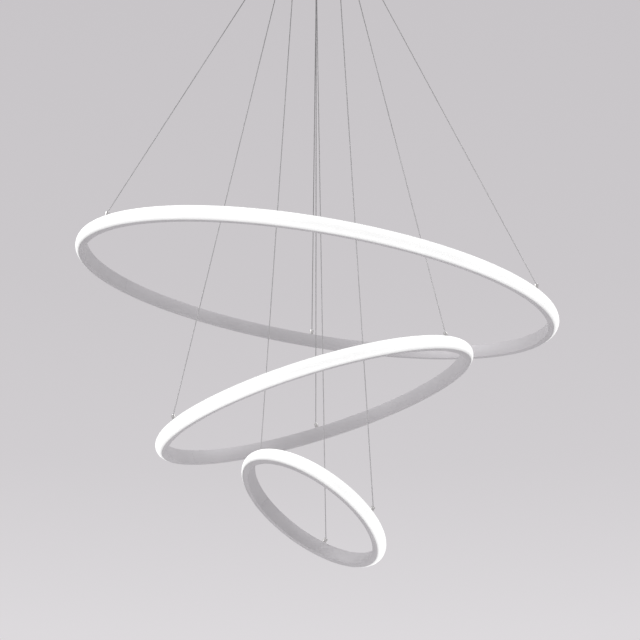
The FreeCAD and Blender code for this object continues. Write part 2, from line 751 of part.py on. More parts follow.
def make_chips(ring):
    """The light-emitting chips, evenly round the strip."""
    pattern = doc.addObject("Part::Box", f"{ring}_chip_pattern")
    pattern.setExpression("Length", "Sizes.chip_thickness")
    pattern.setExpression("Width", "Sizes.chip_length")
    pattern.setExpression("Height", "Sizes.chip_height")
    board_face = ring_radii(ring)[0] + size("web_wall") + size("board_fit") + size("board_thickness")
    seat = board_face.number
    count = max(6, round(2 * math.pi * seat / sheet.get("chip_pitch")))
    back = move_to(seat, -sheet.get("chip_length") / 2, -sheet.get("chip_height") / 2)
    places = [turn_about(360 * number / count).multiply(back) for number in range(count)]
    return copies(f"{ring}_led_chips", pattern, places, ring_pose(ring))


def key_section(ring):
    """Lowest and highest radius and height of the upper joining key."""
    inner = ring_radii(ring)[0] + size("web_wall") + size("key_fit")
    top = half_profile - size("flange_wall") - size("key_fit")
    return inner, inner + size("key_side"), top - size("key_side"), top


def make_keys(ring):
    """Two square steel keys that bridge the channel's seam, in its upper and lower corners."""
    inner, outer, low, high = key_section(ring)
    pattern = new_body(f"{ring}_key_pattern")
    span = size("key_length") / inner * (180 / math.pi)
    revolve(pattern, [(inner, low), (outer, low), (outer, high), (inner, high)], turn=span, label="key")
    doc.recompute()
    middle = turn_about(sheet.get("seam_angle") - span.number / 2)
    flipped = turn_about(sheet.get("seam_angle") + span.number / 2).multiply(turn_about(180, (1, 0, 0)))
    return copies(f"{ring}_joining_keys", pattern, [middle, flipped], ring_pose(ring))


def make_key_screws(ring):
    """Grub screws from the ring's inside, two in each key, one each side of the seam."""
    low, high = key_section(ring)[2:]
    pattern = new_body(f"{ring}_key_screw_pattern")
    radius = size("key_screw_diameter") / 2
    long = size("web_wall")
    revolve(pattern, [(0, 0), (radius, 0), (radius, long), (0, long)], label="screw")
    seat = ring_radii(ring)[0].number
    height = (low.number + high.number) / 2
    turn = math.degrees(sheet.get("key_screw_inset") / seat)
    outward = turn_about(90, (0, 1, 0))
    places = [turn_about(sheet.get("seam_angle") + turn * way).multiply(
        move_to(seat, 0, height * level)).multiply(outward)
        for way in (-1, 1) for level in (-1, 1)]
    return copies(f"{ring}_key_screws", pattern, places, ring_pose(ring))


def make_cups(ring):
    """Hanger cups: a turned cup that holds the wire's ball, on a stud through the top flange."""
    pattern = new_body(f"{ring}_cup_pattern")
    outer = size("cup_diameter") / 2
    top = half_profile + size("cup_height")
    # the hollow's flats, not its corners, clear the ball
    hollow = (size("ball_radius") + size("ball_fit")) / math.cos(math.pi / BALL_RUNS / 2)
    slope = 1 / math.sqrt(2)
    mouth = hollow - size("cup_lip") * math.tan(math.pi / BALL_RUNS / 2)
    stud = size("stud_diameter") / 2
    stud_end = half_profile - size("flange_wall") - size("hanger_nut_height")
    revolve(pattern, [
        (0, stud_end), (stud, stud_end), (stud, half_profile), (outer, half_profile),
        (outer, top), (mouth, top), (hollow, cup_centre),
        (hollow * slope, cup_centre - hollow * slope),
        (0, cup_centre - hollow),
    ], label="cup")
    places = [hanger_place(ring, side) for side in WIRE_ANGLES]
    return copies(f"{ring}_hanger_cups", pattern, places, ring_pose(ring))


def make_hanger_nuts(ring):
    """A small steel nut under the top flange for each cup's stud."""
    pattern = new_body(f"{ring}_hanger_nut_pattern")
    half_wide = size("hanger_nut_width") / 2
    half_long = size("hanger_nut_length") / 2
    outline = new_sketch(pattern, "XY_Plane", "nut_outline", half_profile - size("flange_wall"))
    draw_outline(outline, [(-half_wide, -half_long), (half_wide, -half_long),
                           (half_wide, half_long), (-half_wide, half_long)])
    draw_circle(outline, 0, 0, size("stud_diameter") / 2 + size("stud_fit"))
    nut = pad(pattern, outline, size("hanger_nut_height"), "nut")
    nut.Reversed = True
    places = [hanger_place(ring, side) for side in WIRE_ANGLES]
    return copies(f"{ring}_hanger_nuts", pattern, places, ring_pose(ring))


def make_ball(ring, side):
    """The ball terminal on a wire's lower end, turned from a few straight runs."""
    body = new_body(f"{ring}_ball_{side}")
    angles = [math.pi * (step / BALL_RUNS - 0.5) for step in range(BALL_RUNS + 1)]
    radius = size("ball_radius")
    between = [(radius * math.cos(angle), radius * math.sin(angle)) for angle in angles[1:-1]]
    revolve(body, [(0, -radius), *between, (0, radius)], label="ball")
    body.Placement = move_to(*ball_middle(ring, side))
    return body


def make_wire(ring, side):
    """One taut wire: its spare end, straight down through the gripper, a bend, straight to its ball."""
    exit_at = exit_point(ring, side)
    ball_at = ball_middle(ring, side)
    down = FreeCAD.Vector(0, 0, -1)
    along = (ball_at - exit_at).normalize()
    turn = down.getAngle(along)
    bend = sheet.get("wire_bend_radius")
    tangent = bend * math.tan(turn / 2)
    top = FreeCAD.Vector(exit_at.x, exit_at.y, shank_top.number + sheet.get("wire_tail"))
    bend_start = exit_at - down * tangent
    bend_end = exit_at + along * tangent
    corner_to_centre = (along - down).normalize()
    middle = exit_at + corner_to_centre * (bend / math.cos(turn / 2) - bend)
    short = sheet.get("ball_radius") + sheet.get("wire_end_gap")
    bottom = ball_at - along * short
    path = Part.Wire([
        Part.LineSegment(top, bend_start).toShape(),
        Part.Arc(bend_start, middle, bend_end).toShape(),
        Part.LineSegment(bend_end, bottom).toShape(),
    ])
    radius = sheet.get("wire_diameter") / 2
    section = Part.Wire([Part.Circle(top, down, radius).toShape()])
    tube = path.makePipeShell([section], True, False)
    expected = math.pi * radius ** 2 * path.Length
    print(f"wire {ring} {side}: length {path.Length:.1f}, bend radius {bend:.1f}, "
          f"volume over section times length {tube.Volume / expected:.4f}")
    label = f"wire_{ring}_{side}"
    feature = doc.addObject("Part::Feature", label)
    feature.Label = label
    feature.Shape = tube
    return feature


def make_all():
    pieces = [
        make_canopy(), make_bracket(), make_side_screws(), make_gripper_bodies(),
        make_gripper_nuts(), make_springs(), make_drivers(), make_driver_screws(),
        make_terminal_block(),
    ]
    for ring in RINGS:
        pieces += [
            make_channel(ring), make_diffuser(ring), make_board(ring), make_chips(ring),
            make_keys(ring), make_key_screws(ring), make_cups(ring), make_hanger_nuts(ring),
        ]
        for side in WIRE_ANGLES:
            pieces += [make_plunger(ring, side), make_wire(ring, side), make_ball(ring, side)]
    return pieces


def check_and_write(pieces):
    """Stop on any failed object; otherwise write each sub-part to its own file."""
    doc.recompute()
    for thing in doc.Objects:
        if "Invalid" in thing.State or "Error" in thing.State:
            raise RuntimeError(f"{thing.Label} failed: {thing.State}")
    for piece in pieces:
        if piece.Shape.isNull() or not piece.Shape.isValid():
            raise RuntimeError(f"{piece.Label} has no valid shape")
    os.makedirs("parts", exist_ok=True)
    for piece in pieces:
        piece.Shape.exportStep(f"parts/{piece.Label}.step")
        print(f"{piece.Label}: {len(piece.Shape.Solids)} solids, {piece.Shape.Volume:.0f} cubic mm")


check_and_write(make_all())
for ring_name in RINGS:
    for side_name in WIRE_ANGLES:
        at = ball_middle(ring_name, side_name)
        print(f"ball {ring_name} {side_name}: {at.x:.3f} {at.y:.3f} {at.z:.3f}")
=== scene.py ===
import json
import math

import bmesh
import bpy
import numpy as np
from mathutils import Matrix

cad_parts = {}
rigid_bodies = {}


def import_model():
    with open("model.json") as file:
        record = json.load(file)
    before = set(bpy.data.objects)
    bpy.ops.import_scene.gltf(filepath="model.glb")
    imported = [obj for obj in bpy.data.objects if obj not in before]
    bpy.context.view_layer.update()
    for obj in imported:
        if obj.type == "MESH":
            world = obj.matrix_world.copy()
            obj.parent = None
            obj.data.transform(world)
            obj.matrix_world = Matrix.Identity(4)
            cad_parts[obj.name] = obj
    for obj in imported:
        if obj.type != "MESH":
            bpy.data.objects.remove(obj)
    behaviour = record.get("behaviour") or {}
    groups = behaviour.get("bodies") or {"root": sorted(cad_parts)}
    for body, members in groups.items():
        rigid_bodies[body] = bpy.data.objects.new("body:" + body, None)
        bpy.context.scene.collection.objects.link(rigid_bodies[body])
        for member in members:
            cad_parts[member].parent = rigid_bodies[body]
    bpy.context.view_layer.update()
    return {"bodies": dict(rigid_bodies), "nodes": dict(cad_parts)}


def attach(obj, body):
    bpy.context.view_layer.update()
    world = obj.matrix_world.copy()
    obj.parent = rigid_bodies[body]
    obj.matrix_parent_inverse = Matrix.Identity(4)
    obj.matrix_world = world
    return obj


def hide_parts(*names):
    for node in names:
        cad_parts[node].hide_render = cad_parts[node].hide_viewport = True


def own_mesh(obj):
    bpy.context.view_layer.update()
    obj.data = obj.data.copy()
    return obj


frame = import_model()
cad = frame["nodes"]
bodies = frame["bodies"]


# Ceiling strip. A zinc-plated steel strip, screwed to the ceiling through its two slots; its
# turned-down ends carry the whole lamp. The plating is bluish, with the faint cloudy spangle
# and the lengthwise rolling marks of strip steel.
class Tone:
    """One socket of a material's nodes; sums and products of tones add the Math nodes for it."""

    def __init__(self, tree, socket):
        self.tree = tree
        self.socket = socket

    def node(self, kind, output=0, settings=None, stops=(), **feeds):
        """Any node: settings and ramp stops first, then a value or a tone for each socket."""
        made = self.tree.nodes.new(kind)
        for name, value in (settings or {}).items():
            setattr(made, name, value)
        for index, (place, shade) in enumerate(stops):
            ramp = made.color_ramp.elements
            stop = ramp[index] if index < len(ramp) else ramp.new(place)
            stop.position, stop.color = place, (*shade, 1)
        for name, value in feeds.items():
            socket = next(s for s in made.inputs if name in (s.identifier, s.name.replace(" ", "_")))
            if isinstance(value, Tone):
                self.tree.links.new(value.socket, socket)
            else:
                socket.default_value = value
        return Tone(self.tree, made.outputs[output])

    def maths(self, operation, first, second):
        """A Math node on two numbers or tones."""
        return self.node("ShaderNodeMath", settings={"operation": operation},
                         Value=first, Value_001=second)

    def __add__(self, other):
        return self.maths("ADD", self, other)

    def __sub__(self, other):
        return self.maths("SUBTRACT", self, other)

    def __rsub__(self, other):
        return self.maths("SUBTRACT", other, self)

    def __mul__(self, other):
        return self.maths("MULTIPLY", self, other)

    __radd__ = __add__
    __rmul__ = __mul__


def new_material(name, **constants):
    """A fresh material, its shader, and a tone that holds the object's own coordinates."""
    material = bpy.data.materials.new(name)
    material.use_nodes = True
    tree = material.node_tree
    shader = tree.nodes["Principled BSDF"]
    for socket, value in constants.items():
        shader.inputs[socket.replace("_", " ")].default_value = value
    where = Tone(tree, tree.nodes.new("ShaderNodeTexCoord").outputs["Object"])
    return material, shader, where


def feed(shader, **tones):
    """Lead each tone into the shader's socket of that name."""
    for name, tone in tones.items():
        tone.tree.links.new(tone.socket, shader.inputs[name.replace("_", " ")])


def clouds(place, size, detail=3.0, stretch=(1, 1, 1)):
    """Soft noise from 0 to 1, with patches about size metres across, pulled out along stretch."""
    scaled = place.node("ShaderNodeMapping", Vector=place, Scale=tuple(s / size for s in stretch))
    return place.node("ShaderNodeTexNoise", Vector=scaled, Scale=1.0, Detail=detail)


def blended(tone, dark, light):
    """A colour that runs from dark to light as the tone goes from 0.3 to 0.7."""
    return tone.node("ShaderNodeValToRGB", Fac=tone, stops=[(0.3, dark), (0.7, light)])


def raised(tone, strength, height):
    """A normal that lifts the surface by height metres where the tone is 1."""
    return tone.node("ShaderNodeBump", Height=tone, Strength=strength, Distance=height)


def zinc_plate():
    material, shader, where = new_material("zinc_plate", Metallic=0.9, Coat_Weight=0.1)
    spangle = where.node("ShaderNodeTexVoronoi", output="Color", Vector=where, Scale=260.0)
    spangle = spangle.node("ShaderNodeRGBToBW", Color=spangle)
    rolling = clouds(where, 0.0016, 2.0, (0.03, 1, 1))
    pattern = 0.45 * spangle + 0.35 * rolling + 0.2 * clouds(where, 0.012)
    feed(shader, Base_Color=blended(pattern, (0.45, 0.46, 0.48), (0.66, 0.67, 0.69)),
         Roughness=0.3 + 0.22 * pattern, Normal=raised(rolling, 0.25, 0.0001))
    return material


def wear(node, material):
    """Give a CAD node its finish in place of the plain one."""
    cad[node].data.materials.clear()
    cad[node].data.materials.append(material)


zinc = zinc_plate()
wear("ceiling_bracket", zinc)


# Canopy. A spun steel dish that hides the supplies, sprayed in satin silver. It is drawn as one
# smooth turning with its sheet thickness, a bevelled lower edge and eased corners.
FULL_TURN = 2 * math.pi
TOUCHING = 1e-7
EDGE_SHARE = 0.45  # the most of an edge that one softened corner may take


def eased(corners, radius, steps=3):
    """An outline whose corners are softened: each becomes the curve (1-t)^2 A + 2t(1-t) P + t^2 B
    between the points A and B that lie radius before and after the corner P."""
    points = []
    corners = [np.array(corner, float) for corner in corners]
    for before, corner, after in zip(corners[-1:] + corners[:-1], corners, corners[1:] + corners[:1]):
        if corner[0] == 0:
            points.append(corner)
            continue
        back, on = before - corner, after - corner
        reach = min(radius, EDGE_SHARE * np.hypot(*back), EDGE_SHARE * np.hypot(*on))
        start, end = corner + back / np.hypot(*back) * reach, corner + on / np.hypot(*on) * reach
        for t in np.linspace(0, 1, steps + 1):
            points.append((1 - t) ** 2 * start + 2 * t * (1 - t) * corner + t ** 2 * end)
    return np.array(points)


def cells(rows, columns):
    """The four corners of every cell of a grid, each corner as its rows and its columns."""
    row, column = (part.ravel() for part in np.indices((rows, columns)))
    return [(row, column), (row + 1, column), (row + 1, column + 1), (row, column + 1)]


def turned(outline, rounds, place=None, turn=FULL_TURN, start=0.0, flutes=(0, 0, 0)):
    """A closed outline of (r, z) carried round the Z axis: x = r cos a, y = r sin a, then placed.
    flutes = (number, depth, inner radius) ripples what lies further out than the inner radius."""
    outline = np.asarray(outline, float)
    whole = turn == FULL_TURN
    angles = start + turn * np.arange(rounds if whole else rounds + 1) / rounds
    number, depth, core = flutes
    radius = outline[:, :1] - depth * 0.5 * (1 + np.cos(number * angles)) * (outline[:, :1] > core)
    grid = np.stack([radius * np.cos(angles), radius * np.sin(angles),
                     np.broadcast_to(outline[:, 1:], radius.shape)], axis=2)
    rows, columns = grid.shape[:2]
    corners = cells(rows, rounds)
    faces = np.stack([(r % rows) * columns + c % columns for r, c in corners], axis=1)
    edges = np.diff(outline, axis=0, append=outline[:1])
    length = np.concatenate([[0], np.cumsum(np.hypot(*edges.T))])
    unrolled = np.stack([np.stack([c * turn / rounds * outline[:, 0].max(), length[r]], axis=1)
                         for r, c in corners], axis=1)
    points = grid.reshape(-1, 3)
    faces = [tuple(face) for face in faces.tolist()]
    unrolled = [list(map(tuple, quad)) for quad in unrolled.tolist()]
    if not whole:
        for column, step in ((0, 1), (columns - 1, -1)):
            cap = [r * columns + column for r in range(rows)][::step]
            faces.append(tuple(cap))
            unrolled.append([(0.0, 0.0)] * rows)
    if place is not None:
        points = points @ place[:3, :3].T + place[:3, 3]
    return points, faces, unrolled


def piece(name, surfaces, material, crease=50):
    """One object from several surfaces, its poles closed and its faces pointing outwards."""
    points, faces, unrolled = [], [], []
    for surface_points, surface_faces, surface_unrolled in surfaces:
        first = sum(len(part) for part in points)
        points.append(surface_points)
        faces += [tuple(index + first for index in face) for face in surface_faces]
        unrolled += surface_unrolled
    mesh = bpy.data.meshes.new(name)
    mesh.from_pydata(np.concatenate(points).tolist(), [], faces)
    sheet = mesh.uv_layers.new(name="UVMap")
    flat = np.array([xy for face in unrolled for xy in face], np.float32)
    sheet.data.foreach_set("uv", flat.ravel())
    made = bpy.data.objects.new(name, mesh)
    bpy.context.scene.collection.objects.link(made)
    work = bmesh.new()
    work.from_mesh(mesh)
    bmesh.ops.remove_doubles(work, verts=work.verts, dist=TOUCHING)
    bmesh.ops.recalc_face_normals(work, faces=work.faces)
    work.to_mesh(mesh)
    work.free()
    mesh.polygons.foreach_set("use_smooth", [True] * len(mesh.polygons))
    mesh.set_sharp_from_angle(angle=math.radians(crease))
    mesh.materials.append(material)
    return made


def silver_spray():
    material, shader, where = new_material("silver_spray", Metallic=0.45, Coat_Weight=0.15)
    flake = clouds(where, 0.0006, 1.0)
    drift = clouds(where, 0.035, 2.0)
    peel = clouds(where, 0.0022, 2.0)
    spray = 0.55 * drift + 0.45 * flake
    feed(shader, Base_Color=blended(spray, (0.6, 0.6, 0.61), (0.72, 0.72, 0.73)),
         Roughness=0.34 + 0.14 * drift, Normal=raised(peel, 0.2, 0.00008))
    return material


CANOPY_RADIUS, CANOPY_DEPTH, CANOPY_SHEET, CANOPY_BEVEL = 0.1, 0.036, 0.0012, 0.004
CANOPY_EASING, CANOPY_ROUNDS = 0.0009, 160
FLOOR_TOP = CANOPY_SHEET - CANOPY_DEPTH
inner_radius = CANOPY_RADIUS - CANOPY_SHEET
inner_bevel = CANOPY_BEVEL - CANOPY_SHEET * (2 - math.sqrt(2))
silver = silver_spray()
canopy = piece("canopy_dish", [turned(eased([
    (0, -CANOPY_DEPTH), (CANOPY_RADIUS - CANOPY_BEVEL, -CANOPY_DEPTH),
    (CANOPY_RADIUS, CANOPY_BEVEL - CANOPY_DEPTH), (CANOPY_RADIUS, 0), (inner_radius, 0),
    (inner_radius, FLOOR_TOP + inner_bevel), (inner_radius - inner_bevel, FLOOR_TOP), (0, FLOOR_TOP),
], CANOPY_EASING), CANOPY_ROUNDS)], silver)
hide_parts("canopy_shell")
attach(canopy, "ceiling_fixing")


# Side screws. Two nickel-plated brass thumbscrews through the canopy's wall into the strip's
# tabs; their heads are knurled so that fingers can turn them.
def nickel_plate():
    material, shader, where = new_material("nickel_plate", Metallic=1.0, Coat_Weight=0.2)
    along = where.node("ShaderNodeUVMap")
    lathe = clouds(along, 0.0004, 2.0, (0.02, 1, 1))
    smear = clouds(where, 0.006, 2.0)
    plating = 0.4 * lathe + 0.6 * smear
    feed(shader, Base_Color=blended(plating, (0.48, 0.475, 0.47), (0.61, 0.605, 0.595)),
         Roughness=0.34 + 0.14 * smear + 0.06 * lathe, Normal=raised(lathe, 0.12, 0.00004))
    return material


def shifted(x, y, z):
    """A place that only moves, as a 4 by 4 matrix."""
    place = np.eye(4)
    place[:3, 3] = x, y, z
    return place


def spun(angle, axis=(0, 0, 1)):
    """A turn by angle a about an axis k: cos a I + sin a [k] + (1 - cos a) k k', as a 4 by 4 matrix."""
    k = np.array(axis, float) / np.linalg.norm(axis)
    cross = np.array([[0, -k[2], k[1]], [k[2], 0, -k[0]], [-k[1], k[0], 0]])
    place = np.eye(4)
    place[:3, :3] = (math.cos(angle) * np.eye(3) + math.sin(angle) * cross
                     + (1 - math.cos(angle)) * np.outer(k, k))
    return place


SCREW_DROP, THUMB_RADIUS, THUMB_HEAD = 0.014, 0.0045, 0.005
THUMB_SHANK, THUMB_REACH, DISH_RIM, DISH_EDGE, DISH_DEPTH = 0.00195, 0.008, 0.0032, 0.0028, 0.0004
KNURLS, KNURL_DEPTH, KNURL_ROOT, SCREW_EASING = 36, 0.0003, 0.0042, 0.0003
dish_floor = THUMB_HEAD - DISH_DEPTH
nickel = nickel_plate()
outwards = spun(math.pi / 2, (0, 1, 0))
thumbscrews = []
for side in (0, math.pi):
    place = spun(side) @ shifted(CANOPY_RADIUS, 0, -SCREW_DROP) @ outwards
    thumbscrews.append(turned(eased([
        (0, -THUMB_REACH), (THUMB_SHANK, -THUMB_REACH), (THUMB_SHANK, 0), (THUMB_RADIUS, 0),
        (THUMB_RADIUS, THUMB_HEAD), (DISH_RIM, THUMB_HEAD), (DISH_EDGE, dish_floor), (0, dish_floor),
    ], SCREW_EASING, steps=2), 4 * KNURLS, place, flutes=(KNURLS, KNURL_DEPTH, KNURL_ROOT)))
thumbscrews = piece("thumbscrews", thumbscrews, nickel, crease=35)
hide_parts("side_screws")
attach(thumbscrews, "ceiling_fixing")


# Supplies. Three moulded white cases on the canopy's floor, one for each ring, each held by two
# pan-head screws; a fine spark texture from the mould covers them.
def moulded(name, dark, light):
    material, shader, where = new_material(name, Metallic=0.0, Specular_IOR_Level=0.4)
    spark = clouds(where, 0.0007, 2.0)
    tint = clouds(where, 0.02, 2.0)
    feed(shader, Base_Color=blended(0.75 * tint + 0.25 * spark, dark, light),
         Roughness=0.45 + 0.2 * spark, Normal=raised(spark, 0.35, 0.00006))
    return material


case_white = moulded("case_white", (0.8, 0.8, 0.79), (0.88, 0.88, 0.87))
wear("led_drivers", case_white)

SUPPLY_RADIUS, SUPPLY_REACH, LUG_HEIGHT = 0.066, 0.0405, 0.002
PAN_SHANK, PAN_END, PAN_RADIUS = 0.0015, 0.0002, 0.00285
PAN_EDGE, PAN_CROWN, PAN_HEIGHT = 0.0008, 0.002, 0.002
RECESS_MOUTH, RECESS_BASE, RECESS_LEVEL = 0.0009, 0.0006, 0.0011
lug_top = FLOOR_TOP + LUG_HEIGHT
supply_screws = []
for angle in np.radians([0, 120, 240]):
    for way in (-1, 1):
        place = spun(angle) @ shifted(way * SUPPLY_REACH, -SUPPLY_RADIUS, 0)
        supply_screws.append(turned(eased([
            (0, -CANOPY_DEPTH - PAN_END), (PAN_SHANK, -CANOPY_DEPTH - PAN_END), (PAN_SHANK, lug_top),
            (PAN_RADIUS, lug_top), (PAN_RADIUS, lug_top + PAN_EDGE), (PAN_CROWN, lug_top + PAN_HEIGHT),
            (RECESS_MOUTH, lug_top + PAN_HEIGHT), (RECESS_BASE, lug_top + RECESS_LEVEL),
            (0, lug_top + RECESS_LEVEL),
        ], SCREW_EASING, steps=2), rounds=32, place=place))
supply_screws = piece("supply_screws", supply_screws, zinc)
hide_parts("driver_screws")
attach(supply_screws, "ceiling_fixing")


# Terminal block. Three poles in a cream moulding for the mains lead, with a plated clamp screw
# down each of its six wells.
cream = moulded("terminal_cream", (0.78, 0.75, 0.67), (0.87, 0.85, 0.78))
wear("terminal_block", cream)
BLOCK_HEIGHT, POLE_PITCH, WELL_ASIDE = 0.014, 0.009, 0.0045
CLAMP_RADIUS, CLAMP_FOOT, CLAMP_HEAD = 0.0021, 0.0068, 0.0035
SOCKET_MOUTH, SOCKET_BASE, SOCKET_DROP = 0.0011, 0.0009, 0.0045
block_top = FLOOR_TOP + BLOCK_HEIGHT
clamp_screws = []
for pole in (-POLE_PITCH, 0, POLE_PITCH):
    for way in (-WELL_ASIDE, WELL_ASIDE):
        clamp_screws.append(turned(eased([
            (0, block_top - CLAMP_FOOT), (CLAMP_RADIUS, block_top - CLAMP_FOOT),
            (CLAMP_RADIUS, block_top - CLAMP_HEAD), (SOCKET_MOUTH, block_top - CLAMP_HEAD),
            (SOCKET_BASE, block_top - SOCKET_DROP), (0, block_top - SOCKET_DROP),
        ], SCREW_EASING, steps=2), rounds=24, place=shifted(pole, way, 0)))
clamp_screws = piece("clamp_screws", clamp_screws, nickel)
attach(clamp_screws, "ceiling_fixing")


# Wire grippers. Nine turned brass bodies, nickel plated, with fine lathe marks round them: a shank
# through the canopy's floor with a lock nut on it, and a tapered head below.
RINGS = ("large", "middle", "small")
SIDES = {"left": math.radians(210), "right": math.radians(330), "far": math.radians(90)}
EXIT_RADIUS = {"large": 0.06, "middle": 0.0465, "small": 0.033}
SHANK_TOP, HEAD_BOTTOM, NOSE_BOTTOM = -0.0228, -0.046, -0.0505
CHAMBER_ROOF, PLUNGER_TOP, PLUNGER_SEAT = -0.0243, -0.039, -0.0445
SHANK_RADIUS, HEAD_RADIUS, HEAD_COLLAR, TAPER_END = 0.004, 0.0053, 0.0025, 0.0041
WIRE_BORE, CHAMBER_RADIUS, NOSE_HOLE, GRIPPER_EASING = 0.0009, 0.003, 0.0025, 0.0004
exits = {(ring, side): EXIT_RADIUS[ring] * np.array([math.cos(angle), math.sin(angle), 0])
         for ring in RINGS for side, angle in SIDES.items()}

grippers = [turned(eased([
    (NOSE_HOLE, HEAD_BOTTOM), (TAPER_END, HEAD_BOTTOM), (HEAD_RADIUS, -CANOPY_DEPTH - HEAD_COLLAR),
    (HEAD_RADIUS, -CANOPY_DEPTH), (SHANK_RADIUS, -CANOPY_DEPTH), (SHANK_RADIUS, SHANK_TOP),
    (WIRE_BORE, SHANK_TOP), (WIRE_BORE, CHAMBER_ROOF), (CHAMBER_RADIUS, CHAMBER_ROOF),
    (CHAMBER_RADIUS, PLUNGER_SEAT), (NOSE_HOLE, PLUNGER_SEAT),
], GRIPPER_EASING), rounds=48, place=shifted(*at)) for at in exits.values()]
grippers = piece("gripper_barrels", grippers, nickel)
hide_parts("gripper_bodies")
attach(grippers, "ceiling_fixing")
wear("gripper_nuts", nickel)


# Release plungers and their springs. Pressing a nose against its spring frees the wire; each
# nose has a flared mouth that the wire leaves by. The springs are drawn steel, seven turns.
def drawn_steel():
    material, shader, where = new_material("drawn_steel", Metallic=1.0)
    dull = clouds(where, 0.003, 2.0)
    feed(shader, Base_Color=blended(dull, (0.42, 0.42, 0.43), (0.56, 0.56, 0.57)),
         Roughness=0.22 + 0.18 * dull, Normal=raised(dull, 0.1, 0.00003))
    return material


def coiled(radius, wire, bottom, top, turns, place, steps=20, sides=8, slow=0.06):
    """A round spring: its line is (R cos 2 pi n t, R sin 2 pi n t, z(t)), with z slow at both ends,
    and a circle of the wire's radius is carried along it, square to the line."""
    t = np.linspace(0, 1, turns * steps + 1)
    angle = FULL_TURN * turns * t
    rise = (top - bottom - wire * 2) * (t - slow * np.sin(FULL_TURN * t) / math.pi) + bottom + wire
    line = np.stack([radius * np.cos(angle), radius * np.sin(angle), rise], axis=1)
    ahead = np.gradient(line, axis=0)
    ahead /= np.linalg.norm(ahead, axis=1, keepdims=True)
    out = np.stack([np.cos(angle), np.sin(angle), 0 * t], axis=1)
    up = np.cross(ahead, out)
    about = FULL_TURN * np.arange(sides)[:, None] / sides
    points = line[:, None] + wire * (np.cos(about) * out[:, None] + np.sin(about) * up[:, None])
    corners = np.stack([step * sides + side % sides for step, side in cells(len(t) - 1, sides)], axis=1)
    faces = [tuple(face) for face in corners.tolist()]
    for first in (0, (len(t) - 1) * sides):
        faces.append(tuple(range(first, first + sides)))
    unrolled = [[(0.0, 0.0)] * len(face) for face in faces]
    return points.reshape(-1, 3) @ place[:3, :3].T + place[:3, 3], faces, unrolled


steel = drawn_steel()
NOSE_RADIUS, PLUNGER_RADIUS, FLARE_RADIUS, FLARE_HEIGHT = 0.0024, 0.00295, 0.002, 0.0044
SPRING_RADIUS, SPRING_WIRE, SPRING_TURNS, PLUNGER_EASING = 0.0025, 0.0003, 7, 0.0003
for (ring, side), at in exits.items():
    plunger = piece(f"release_plunger_{ring}_{side}", [turned(eased([
        (WIRE_BORE, NOSE_BOTTOM + FLARE_HEIGHT), (FLARE_RADIUS, NOSE_BOTTOM), (NOSE_RADIUS, NOSE_BOTTOM),
        (NOSE_RADIUS, PLUNGER_SEAT), (PLUNGER_RADIUS, PLUNGER_SEAT), (PLUNGER_RADIUS, PLUNGER_TOP),
        (WIRE_BORE, PLUNGER_TOP),
    ], PLUNGER_EASING), rounds=40, place=shifted(*at))], nickel)
    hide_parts(f"plunger_{ring}_{side}")
    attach(plunger, f"{ring}_{side}_plunger")
    coil = coiled(SPRING_RADIUS, SPRING_WIRE, PLUNGER_TOP, CHAMBER_ROOF, SPRING_TURNS, shifted(*at))
    spring = piece(f"release_spring_{ring}_{side}", [coil], steel)
    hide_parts("gripper_springs")
    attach(spring, "ceiling_fixing")
    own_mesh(spring)


# Ring channels. Each ring is an aluminium channel rolled from one length, open outwards and
# satin anodised, butted at one seam. Its flat inner face carries the long marks of the rolling.
RING_SIZE = {"large": 0.6, "middle": 0.4, "small": 0.2}
RING_DROP = {"large": 0.49, "middle": 0.633, "small": 0.7623}
RING_ASIDE = {"large": (0, -0.0075), "middle": (-0.0007, 0.0076), "small": (-0.0034, 0.0227)}
RING_SLANT = {"large": (10.7, 9.4), "middle": (8.2, -17.2), "small": (-9.35, 32.45)}
RING_TWIST = {"large": 2.2, "middle": -3.1, "small": -9.5}
HALF_BAND, CHANNEL_DEPTH, BULGE, WEB, FLANGE = 0.0085, 0.007, 0.0054, 0.0014, 0.0012
SEAM, SEAM_GAP, CHANNEL_EASING, RING_ROUNDS = math.radians(150), 0.00015, 0.0004, 300
lip = HALF_BAND - FLANGE


def hung(ring):
    """A ring's place: twisted about its own axis, slanted about a level axis, then lowered."""
    slant = np.radians(RING_SLANT[ring])
    x, y = RING_ASIDE[ring]
    return (shifted(x, y, NOSE_BOTTOM - RING_DROP[ring])
            @ spun(np.hypot(*slant), (*slant, 0)) @ spun(math.radians(RING_TWIST[ring])))


def anodised():
    material, shader, where = new_material("anodised_aluminium", Metallic=0.35)
    along = where.node("ShaderNodeUVMap")
    rolling = clouds(along, 0.0005, 3.0, (0.012, 1, 1))
    patches = clouds(where, 0.05, 2.0)
    film = 0.4 * rolling + 0.6 * patches
    feed(shader, Base_Color=blended(film, (0.49, 0.477, 0.493), (0.55, 0.536, 0.553)),
         Roughness=0.56 + 0.1 * rolling, Normal=raised(rolling, 0.12, 0.00004))
    return material


satin = anodised()
for ring in RINGS:
    edge = RING_SIZE[ring] / 2 - BULGE
    inner = edge - CHANNEL_DEPTH
    turn = FULL_TURN - SEAM_GAP / inner
    channel = piece(f"{ring}_rolled_channel", [turned(eased([
        (inner, -HALF_BAND), (edge, -HALF_BAND), (edge, -lip), (inner + WEB, -lip),
        (inner + WEB, lip), (edge, lip), (edge, HALF_BAND), (inner, HALF_BAND),
    ], CHANNEL_EASING, steps=2), RING_ROUNDS, hung(ring), turn, start=SEAM)], satin)
    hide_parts(f"{ring}_channel")
    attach(channel, f"{ring}_ring")


